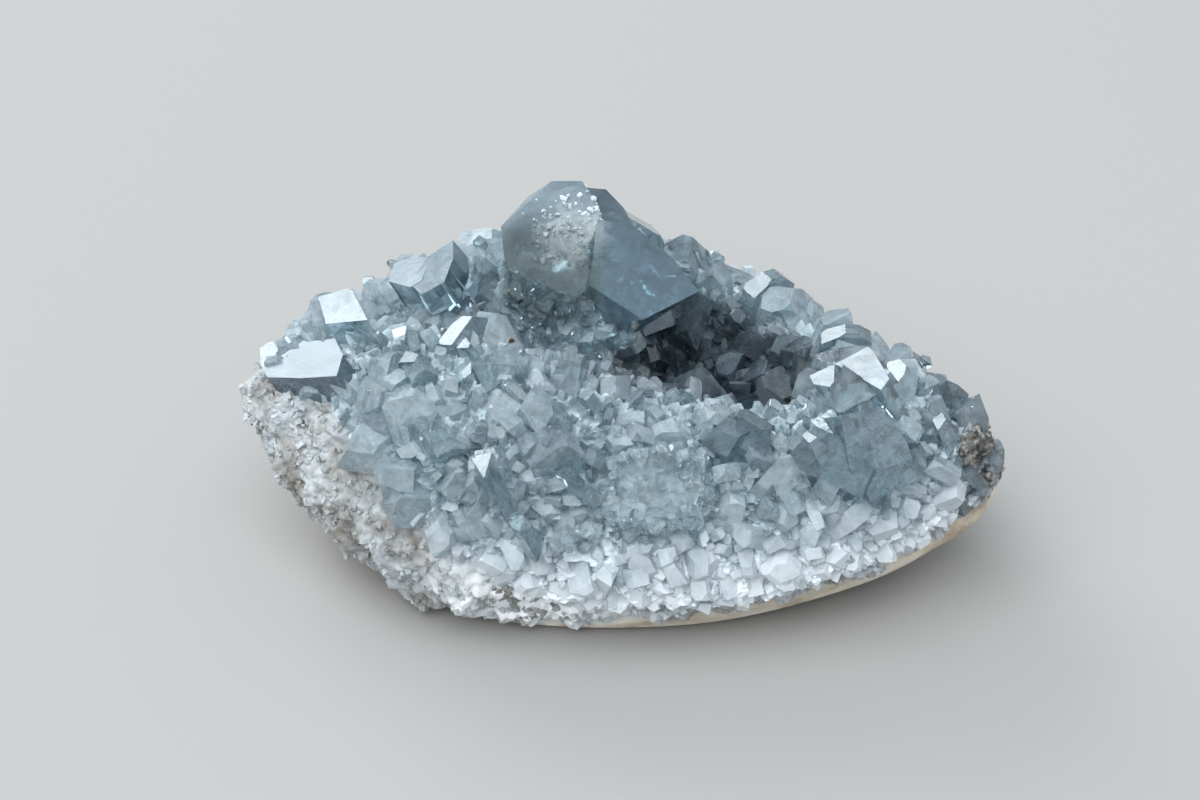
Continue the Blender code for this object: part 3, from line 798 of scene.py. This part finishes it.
def strewn(chance):
    """Seeded places for the crystals, the largest class first, each its spacing from the others."""
    standing = np.full((MOST_CRYSTALS, 3), np.inf)
    found = []
    for tries, spacing, widths, stands in SIZES:
        station = chance.uniform(0, STATIONS, tries)
        level = chance.uniform(0.35, len(RINGS) - 1, tries)
        keep = crust_cover(station, level) > 0.8
        station, level = station[keep], level[keep]
        places = bed_point(station, level)
        normals = bed_normal(station, level)
        lean = chance.normal(0, LEAN, (len(places), 3))
        axes = normals + lean - normals * (lean * normals).sum(axis=1, keepdims=True)
        axes /= np.linalg.norm(axes, axis=1, keepdims=True)
        rise = np.clip((level - FINE_BELOW[0]) / (FINE_BELOW[1] - FINE_BELOW[0]), 0, 1)
        share = FINE_SHARE + (1 - FINE_SHARE) * rise
        width = chance.uniform(*widths, len(places)) * share
        stand = chance.uniform(*stands, len(places)) * share
        # Painted shade: crystals in the hollow get a deeper tone and less milk
        hollow_shade = shade_in_hollow(level, places[:, 0], 0.5)
        milk = LEAST_MILK + MORE_MILK * chance.beta(1.8, 3.0, len(places)) + HOLLOW_SHADE_MILK * hollow_shade
        milk = np.minimum(milk + FINE_MILK * (1 - rise), MOST_MILK)
        tone = np.maximum(MOST_TONE * chance.beta(1.2, 3.2, len(places)) * rise, HOLLOW_SHADE_TONE * hollow_shade)
        spin = chance.uniform(0, math.tau, len(places))
        for index, place in enumerate(places):
            count = len(found)
            apart = standing[:count] - place
            if count and (apart * apart).sum(axis=1).min() < (spacing * share[index]) ** 2:
                continue
            standing[count] = place
            tip = place + axes[index] * stand[index]
            length = stand[index] + ROOT_DEPTH
            found.append((tip, axes[index], width[index], length, spin[index], milk[index], tone[index]))
    return found


def hides(tip, width, centre, reach):
    """Whether a crystal's tip stands before a face, within its reach of the line of outlook."""
    way = np.asarray(tip) - centre
    ahead = way @ OUTLOOK
    aside = np.linalg.norm(way - ahead * OUTLOOK)
    return ahead > -0.3 * width and ahead < 25 and aside < reach + 0.55 * width


def on_faces(chance, shapes, count):
    """Random places on the faces of closed shapes, spread by area, with the normals there and the
    index of the shape that each is on."""
    fans = [
        points[[face[0], face[step], face[step + 1]]]
        for points, faces, *_ in shapes
        for face in faces
        for step in range(1, len(face) - 1)
    ]
    hosts = [
        index
        for index, (_, faces, *_) in enumerate(shapes)
        for face in faces
        for _ in range(1, len(face) - 1)
    ]
    corners = np.array(fans)
    crossed = np.cross(corners[:, 1] - corners[:, 0], corners[:, 2] - corners[:, 0])
    area = np.linalg.norm(crossed, axis=1)
    chosen = chance.choice(len(corners), count, p=area / area.sum())
    first, second = np.sort(chance.random((2, count)), axis=0)
    weights = np.stack([first, second - first, 1 - second], axis=1)
    places = np.einsum("nk,nkc->nc", weights, corners[chosen])
    return places, crossed[chosen] / area[chosen, None], np.array(hosts)[chosen]


def perched(chance, shapes, count, widths, milk):
    """The finest crystals, with their feet in the faces of others, whose depth of tone they share."""
    places, normals, hosts = on_faces(chance, shapes, count)
    axes = normals + chance.normal(0, 0.5, (count, 3))
    axes /= np.linalg.norm(axes, axis=1, keepdims=True)
    width = chance.uniform(*widths, count)
    spin = chance.uniform(0, math.tau, count)
    turned = frames_of(axes, spin)
    stand = width * chance.uniform(0.4, 0.9, count)
    found = []
    for index in range(count):
        form = forms[chance.integers(FORMS)]
        tip = places[index] + axes[index] * stand[index]
        points, faces = set_crystal(form, tip, turned[index], width[index], stand[index] + 0.8)
        tone = shapes[hosts[index]][4]
        found.append((points, faces, milk * (1 - tone), 0.3 * milk, tone))
    return found, places


def grown_together(name, shapes):
    """One closed mesh from many overlapping closed shapes, by a Boolean union. Each shape's faces
    keep its milkiness, its frost and its depth of tone."""
    tools = bpy.data.collections.new(name + "_shapes")
    bpy.context.scene.collection.children.link(tools)
    made = []
    for index, (points, faces, milk, frost, tone) in enumerate(shapes):
        mesh = bpy.data.meshes.new(f"{name}_{index}")
        mesh.from_pydata((points * MM).tolist(), [], faces)
        for key, value in (("milk", milk), ("frost", frost), ("tone", tone)):
            kept = mesh.attributes.new(key, "FLOAT", "FACE")
            values = np.broadcast_to(np.float32(value), len(faces))
            kept.data.foreach_set("value", values.astype(np.float32))
        shape = bpy.data.objects.new(mesh.name, mesh)
        made.append(shape)
        if index:
            tools.objects.link(shape)
    bpy.context.scene.collection.objects.link(made[0])
    union = made[0].modifiers.new("union", "BOOLEAN")
    union.operation = "UNION"
    union.solver = "MANIFOLD"
    union.operand_type = "COLLECTION"
    union.collection = tools
    graph = bpy.context.evaluated_depsgraph_get()
    joined = bpy.data.meshes.new_from_object(made[0].evaluated_get(graph))
    joined.name = name
    for shape in made:
        old = shape.data
        bpy.data.objects.remove(shape, do_unlink=True)
        bpy.data.meshes.remove(old)
    bpy.data.collections.remove(tools)
    return joined


def spanned(tree, value, low, high, to_low, to_high):
    """A value moved from one span to another and held inside it."""
    made = node(tree, "ShaderNodeMapRange", {"Value": value})
    for key, end in {"From Min": low, "From Max": high, "To Min": to_low, "To Max": to_high}.items():
        made.inputs[key].default_value = end
    return made.outputs["Result"]


def summed(tree, first, second, operation="ADD"):
    """Two values added, or joined by another operation."""
    return node(tree, "ShaderNodeMath", {0: first, 1: second}, operation=operation).outputs[0]


def near_spot(tree, place, spot, fade, most):
    """The distance from a spot in mm, turned into 0 where its fade begins and `most` where it ends."""
    away = node(tree, "ShaderNodeVectorMath", {0: place}, operation="DISTANCE")
    away.inputs[1].default_value = [value * MM for value in spot]
    return spanned(tree, away.outputs["Value"], fade[0] * MM, fade[1] * MM, 0, most)


def crystal_finish():
    """Clear to cloudy celestite: refraction at its real index and a pale blue-grey tint by
    absorption. Milkiness lowers the transmission: each crystal has its own, broken up by wisps. The
    frost roughens patches, and deep tones darken the body."""
    made, tree, shader = shader_nodes("clear celestite")
    place = node(tree, "ShaderNodeTexCoord").outputs["Object"]
    veil = node(tree, "ShaderNodeTexNoise", {"Vector": place}, Scale=75, Detail=4, Roughness=0.6)
    veil.inputs["Distortion"].default_value = 2.0
    wisp = node(tree, "ShaderNodeTexNoise", {"Vector": place}, Scale=260, Detail=6, Roughness=0.7)
    wisp.inputs["Distortion"].default_value = 1.2
    frost = node(tree, "ShaderNodeTexNoise", {"Vector": place}, Scale=110, Detail=7, Roughness=0.75)
    frosted = spanned(tree, frost.outputs["Fac"], 0.52, 0.75, 0, 0.4)
    frosted = summed(tree, frosted, attribute(tree, "frost"))
    crusty = near_spot(tree, place, CROWN_CRUST, CROWN_CRUST_FADE, 0.9)
    crusted = summed(tree, crusty, wisp.outputs["Fac"], "MULTIPLY")
    frosted = summed(tree, frosted, crusted)
    cloud = summed(tree, wisp.outputs["Fac"], veil.outputs["Fac"])
    cloud = summed(tree, cloud, attribute(tree, "milk"))
    cloud = summed(tree, cloud, summed(tree, frosted, frosted, "MULTIPLY"))
    clear = spanned(tree, cloud, 1.0, 2.1, 0.93, 0.38)
    tree.links.new(clear, shader.inputs["Transmission Weight"])
    body = ramp(
        tree,
        spanned(tree, cloud, 0.9, 2.2, 0, 1),
        [(0.0, (0.78, 0.90, 0.95)), (0.4, (0.74, 0.86, 0.91)), (1.0, (0.88, 0.94, 0.97))],
    )
    body = mixed(tree, attribute(tree, "tone"), body, DEEP_TONE)
    body = mixed(tree, near_spot(tree, place, CROWN_HEART, CROWN_HEART_FADE, 0.85), body, CROWN_GREY)
    dusted = spanned(tree, crusted, 0.2, 0.5, 0, 0.65)
    body = mixed(tree, dusted, body, CRUST_WHITE)
    body = mixed(tree, near_spot(tree, place, STAIN_AT, STAIN_FADE, 0.45), body, STAIN_BROWN)
    tree.links.new(body, shader.inputs["Base Color"])
    tree.links.new(spanned(tree, frosted, 0.1, 1, 0.02, 0.45), shader.inputs["Roughness"])
    shader.inputs["IOR"].default_value = CELESTITE_IOR
    tint = node(tree, "ShaderNodeVolumeAbsorption", Color=(*PALE_BLUE, 1), Density=TINT_DENSITY)
    tree.links.new(tint.outputs["Volume"], tree.nodes["Material Output"].inputs["Volume"])
    scratch = node(tree, "ShaderNodeTexNoise", {"Vector": place}, Scale=1400, Detail=3)
    bump = node(tree, "ShaderNodeBump", {"Height": scratch.outputs["Fac"]}, Distance=0.00015)
    tree.links.new(spanned(tree, frosted, 0.1, 1, 0.04, 0.9), bump.inputs["Strength"])
    tree.links.new(bump.outputs["Normal"], shader.inputs["Normal"])
    return made


chance = np.random.default_rng(CRYSTAL_SEED)
forms = [crystal_form(chance) for _ in range(FORMS)]
left_face, _ = flat_face(*CROWN_LEFT_FACE)
right_face, _ = flat_face(*CROWN_RIGHT_FACE)
crown_left = hull_of(np.vstack([left_face, CROWN_LEFT]))
crown = [
    (*crown_left, 0.7, 0.1, 0.75),
    (*hull_of(np.vstack([right_face, CROWN_RIGHT])), 0.75, 0.0, 0.97),
    (*hull_of(CROWN_BEHIND), 0.5, 0.1, 0.92),
]
faced = [faced_crystal(*crystal) for crystal in FACED_CRYSTALS.values()]
named = []
for name, (tip, axis, width, length, spin) in LARGE_CRYSTALS.items():
    axis = np.array([axis], float) / np.linalg.norm(axis)
    turned = frames_of(axis, np.array([math.radians(spin)]))[0]
    form = forms[chance.integers(FORMS)]
    tone = MOST_TONE if name.startswith("dark") else BACK_TONE if name.startswith("back") else PLAIN_TONE
    named.append((*set_crystal(form, np.array(tip), turned, width, length), 0.15, 0.05, tone))
kept_clear = [
    (np.array(centre), 0.6 * np.ptp(np.array(outline), axis=0).max())
    for centre, _, outline, *_ in FACED_CRYSTALS.values()
]
kept_clear.append((POCKET_AT, POCKET_OPEN))
common = []
for tip, axis, width, length, spin, milk, tone in strewn(chance):
    turned = frames_of(axis[None], np.array([spin]))[0]
    form = forms[chance.integers(FORMS)]
    if any(hides(tip, width, centre, reach) for centre, reach in kept_clear):
        tip = tip - SHORT_SHARE * (length - ROOT_DEPTH) * axis
        width = SHORT_SHARE * width
    if any(np.linalg.norm(tip - centre) < radius + KNOB_CLEAR for centre, radius in HOST_KNOBS):
        continue
    if min(np.linalg.norm(tip - centre) - radius for centre, radius in HOST_KNOBS) < DUSKY_REACH:
        milk, tone = 0.3 * milk, DUSKY_TONE
    # Crystals in the pocket are shortened and darkened as painted shade of the pocket
    if np.linalg.norm(tip - POCKET_AT) < POCKET_REACH:
        milk, tone = 0, POCKET_SHADE_TONE
        tip = tip - SHORT_SHARE * (length - ROOT_DEPTH) * axis
    frost = milk * chance.random() * 0.4
    common.append((*set_crystal(form, tip, turned, width, length), milk, frost, tone))
fine, _ = perched(chance, named + common, PERCHED, PERCHED_WIDTH, 0.2)
grains, places = perched(chance, [(*crown_left, 0, 0, 0)], CROWN_CRUST_GRAINS, (0.25, 0.9), 0.9)
away = np.linalg.norm(places - CROWN_CRUST, axis=1)
crust_edge = chance.normal(CROWN_CRUST_REACH, CROWN_CRUST_WANDER, len(away))
fine += [grain for grain, kept in zip(grains, away < crust_edge) if kept]
block = faced[list(FACED_CRYSTALS).index("pale_block")]
block_centre = np.array(FACED_CRYSTALS["pale_block"][0])
overgrown, places = perched(chance, [block], BLOCK_OVERGROWN, (1.2, 3.2), 0.3)
outside = np.linalg.norm(places - block_centre, axis=1) > BLOCK_BARE
fine += [crystal for crystal, kept in zip(overgrown, outside) if kept]
skirt, places = perched(chance, [(*crown_left, 0, 0, 0.2)], CROWN_SKIRT, (1.6, 3.8), 0.4)
fine += [crystal for crystal, place in zip(skirt, places) if place[2] < CROWN_SKIRT_BELOW]
crust_mesh = grown_together("celestite_crystals", crown + faced + named + common + fine)
crust = add_piece("celestite_crystals", crust_mesh, crystal_finish(), False)
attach(crust, "root")
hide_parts("crystal_crust")


# The roots of the crystals are a milky layer grown on the bed, which shows through the clear tips.
# It is the cloudy lower part of the same crust, a jumble of small flat faces and veins.

ROOT_COLUMNS = 420
ROOT_ROWS = 210
ROOT_BACK_ROWS = 20
ROOT_SUNK = 2.4
ROOT_HEIGHT = 1.0
ROOT_CELL = 2.6
FINE_CELL = 1.1
WHITE_BELOW = 1.8
VEIN_SHARE = 0.45

# Dark spots in the roots: middle and reach in mm, and depth, at the pocket and by the dark knobs
ROOT_SHADOWS = ((POCKET_AT, POCKET_REACH + 2, 1.0), (np.array([63, -9, 23]), 9, 0.85))


def root_surface():
    """The bed pushed out by the roots' height and by facets that tilt through each cell where the
    crystals cover it, and sunk into the rock where it is bare. Its back, deeper in the rock, closes
    the shell."""
    back = np.linspace(len(RINGS) - 1, 0.2, ROOT_BACK_ROWS, endpoint=False)
    level = np.repeat(np.concatenate([back, np.linspace(0.2, len(RINGS) - 1, ROOT_ROWS)]), ROOT_COLUMNS)
    station = np.tile(np.arange(ROOT_COLUMNS) * STATIONS / ROOT_COLUMNS, ROOT_BACK_ROWS + ROOT_ROWS)
    points = bed_point(station, level)
    cover = crust_cover(station, level)
    near, second, facet = cobbles(points, ROOT_CELL, 11)
    _, _, fine_facet = cobbles(points, FINE_CELL, 15)
    push = ROOT_HEIGHT + ROOT_CELL * facet + 0.7 * FINE_CELL * fine_facet
    push = cover * (ROOT_SUNK + np.clip(push, 0.1, 2.4)) - ROOT_SUNK
    push[: ROOT_BACK_ROWS * ROOT_COLUMNS] = -1.2 * ROOT_SUNK
    vein = np.clip(1 - 5 * (second - near), 0, 1)
    # Painted shade of the roots: darker in the hollow and at the shadow spots
    dark = shade_in_hollow(level, points[:, 0], 0.6)
    white = np.clip((WHITE_BELOW - level) / 0.8, 0, 1)
    for middle, reach, depth in ROOT_SHADOWS:
        near = np.clip(1.6 - 1.6 * np.linalg.norm(points - middle, axis=1) / reach, 0, 1)
        dark = np.maximum(dark, depth * near)
    return points + bed_normal(station, level) * push[:, None], VEIN_SHARE * vein * cover, dark, white


def root_finish():
    """Milky celestite: blue-grey, white along the veins where crystals meet, and darkened with painted shade
    in the hollow, at the pocket and by the knobs.
    """
    made, tree, shader = shader_nodes("milky celestite")
    place = node(tree, "ShaderNodeTexCoord").outputs["Object"]
    cloud = node(tree, "ShaderNodeTexNoise", {"Vector": place}, Scale=170, Detail=6, Roughness=0.7)
    body = ramp(
        tree,
        cloud.outputs["Fac"],
        [(0.36, (0.22, 0.30, 0.335)), (0.5, (0.33, 0.42, 0.46)), (0.64, (0.46, 0.55, 0.59))],
    )
    body = mixed(tree, attribute(tree, "vein"), body, (0.60, 0.69, 0.73))
    body = mixed(tree, attribute(tree, "white"), body, (0.80, 0.86, 0.89))
    # Painted shade in the hollow, at the pocket and by the knobs
    body = mixed(tree, attribute(tree, "dark"), body, (0.07, 0.09, 0.105))
    tree.links.new(body, shader.inputs["Base Color"])
    shader.inputs["Roughness"].default_value = 0.5
    return made


root_points, root_vein, root_painted_shade, root_white = root_surface()
root_mesh = mesh_of("crystal_roots", root_points, grid_faces(ROOT_BACK_ROWS + ROOT_ROWS, ROOT_COLUMNS))
set_attribute(root_mesh, "vein", root_vein)
set_attribute(root_mesh, "dark", root_painted_shade)
set_attribute(root_mesh, "white", root_white)
close_ends(root_mesh)
crystal_roots = add_piece("crystal_roots", root_mesh, root_finish(), False)
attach(crystal_roots, "root")


# One long brown grain of dirt lies on the crystals of the slope. It is dull and dry, and clings to
# the first face that the line of outlook meets below its named place.

# Place and size in mm, and how many random corners its hull has
SPECK_ABOVE = (-14.4, -3.4, 44)
SPECK_BODY = (1.3, 0.6, 0.6)
SPECK_CORNERS = 14


def speck_finish():
    """Dull dark brown."""
    made, _, shader = shader_nodes("brown dirt")
    shader.inputs["Base Color"].default_value = (0.10, 0.05, 0.02, 1)
    shader.inputs["Roughness"].default_value = 0.8
    return made


speck_from = (np.array(SPECK_ABOVE) + 20 * OUTLOOK) * MM
_, speck_at, _, _ = crust.ray_cast(Vector(speck_from), Vector(-OUTLOOK))
speck_chance = np.random.default_rng(GRAIN_SEED)
speck_corners = speck_chance.normal(0, 0.5, (SPECK_CORNERS, 3)) * SPECK_BODY
speck_points, speck_faces = hull_of(speck_corners + np.array(speck_at) / MM)
speck_mesh = mesh_of("dirt_speck", speck_points, speck_faces)
dirt_speck = add_piece("dirt_speck", speck_mesh, speck_finish(), False)
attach(dirt_speck, "root")


# The camera looks down on the cluster from the photograph's angle and distance, with its distances in
# mm from the middle of the rest spot.

CAMERA_BACK = 383.23
CAMERA_HEIGHT = 298.18
CAMERA_TILT = 55
CAMERA_LENS = 84

lens = bpy.data.cameras.new("camera")
lens.lens = CAMERA_LENS
lens.clip_end = 20
camera = bpy.data.objects.new("camera", lens)
camera.location = (0, -CAMERA_BACK * MM, CAMERA_HEIGHT * MM)
camera.rotation_euler = (math.radians(CAMERA_TILT), 0, 0)
bpy.context.scene.collection.objects.link(camera)
bpy.context.scene.camera = camera


# The floor is a plain pale sheet. A large soft window stands behind on the left, and a soft ceiling
# gives light from above without being mirrored in the crystals. Sizes are in metres.

FLOOR_SIZE = 4.0
WINDOW_FROM = (-0.50, 0.70, 0.50)
WINDOW_AWAY = 3.0
WINDOW_SIZE = 1.8
WINDOW_POWER = 58
WINDOW_WHITE = (0.88, 0.96, 1.0)
CEILING_FROM = (-0.25, -0.40, 0.88)
CEILING_AWAY = 3.0
CEILING_SIZE = 3.6
CEILING_POWER = 128
CEILING_WHITE = (0.97, 0.98, 1.0)

floor_mesh = bpy.data.meshes.new("floor")
half = FLOOR_SIZE / 2
floor_mesh.from_pydata(
    [(-half, -half, 0), (half, -half, 0), (half, half, 0), (-half, half, 0)], [], [(0, 1, 2, 3)]
)
floor_finish, _, floor_shader = shader_nodes("pale floor")
floor_shader.inputs["Base Color"].default_value = (0.33, 0.325, 0.315, 1)
floor_shader.inputs["Roughness"].default_value = 0.9
floor_shader.inputs["Specular IOR Level"].default_value = 0.2
floor = add_piece("floor", floor_mesh, floor_finish, False)


def square_light(name, towards, away, size, power, colour):
    """A square of light, `away` metres off in a direction and facing the cluster."""
    panel = bpy.data.lights.new(name, "AREA")
    panel.shape = "SQUARE"
    panel.size = size
    panel.energy = power
    panel.color = colour
    made = bpy.data.objects.new(name, panel)
    direction = Vector(towards).normalized()
    made.location = direction * away
    made.rotation_euler = direction.to_track_quat("Z", "Y").to_euler()
    bpy.context.scene.collection.objects.link(made)
    return made


square_light("window", WINDOW_FROM, WINDOW_AWAY, WINDOW_SIZE, WINDOW_POWER, WINDOW_WHITE)
ceiling = square_light("ceiling", CEILING_FROM, CEILING_AWAY, CEILING_SIZE, CEILING_POWER, CEILING_WHITE)
ceiling.visible_glossy = False

# The room round it is dim near the horizon and brighter overhead
world = bpy.data.worlds.new("studio")
world.use_nodes = True
room = world.node_tree
direction = node(room, "ShaderNodeTexCoord").outputs["Generated"]
height = node(room, "ShaderNodeSeparateXYZ", {"Vector": direction}).outputs["Z"]
backdrop = room.nodes["Background"]
backdrop.inputs["Color"].default_value = (0.86, 0.93, 1.0, 1)
room.links.new(spanned(room, height, -0.1, 1.0, 0.55, 1.05), backdrop.inputs["Strength"])
bpy.context.scene.world = world
bpy.context.scene.view_settings.view_transform = "Standard"
